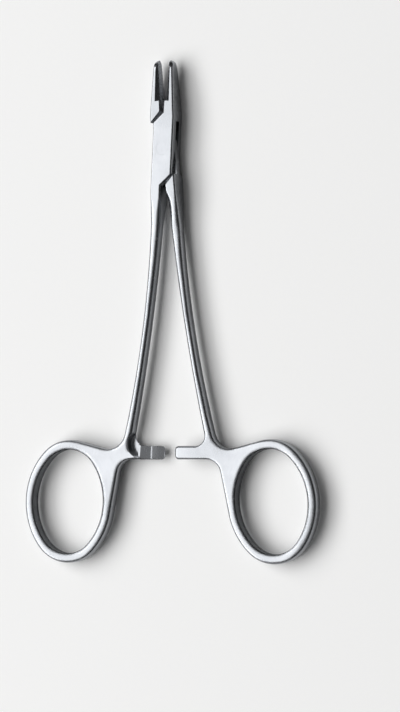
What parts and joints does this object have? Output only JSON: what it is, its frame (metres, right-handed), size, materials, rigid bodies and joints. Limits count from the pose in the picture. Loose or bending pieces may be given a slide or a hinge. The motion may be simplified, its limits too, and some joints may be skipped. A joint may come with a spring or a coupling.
{
  "type": "surgical needle holder",
  "caption": "Needle holder with serrated tapered jaws, a box lock on a riveted pin, bowed shanks, a toothed ratchet and oval finger rings.",
  "frame": {"origin": "on the pivot axis, in the plane of the surface the instrument lies on", "axes": "+Y from the pivot to the jaw tips along the instrument's middle line, +Z along the pivot axis, away from the surface"},
  "size_m": [0.0834, 0.1302, 0.0054],
  "materials": {
    "female_half": "satin polished stainless steel",
    "male_half": "satin polished stainless steel",
    "pivot_pin": "ground stainless steel, flush with the cheeks"
  },
  "bodies": {
    "female_side": {"female_half": "female_half", "pivot_pin": "pivot_pin"},
    "male_side": {"male_half": "male_half"}
  },
  "joints": [
    {"name": "lock_pivot", "type": "hinge", "parent": "female_side", "child": "male_side", "pos_m": [0, 0, 0.0027], "axis": [0, 0, 1], "range_deg": [-7.4, 52.5]}
  ]
}
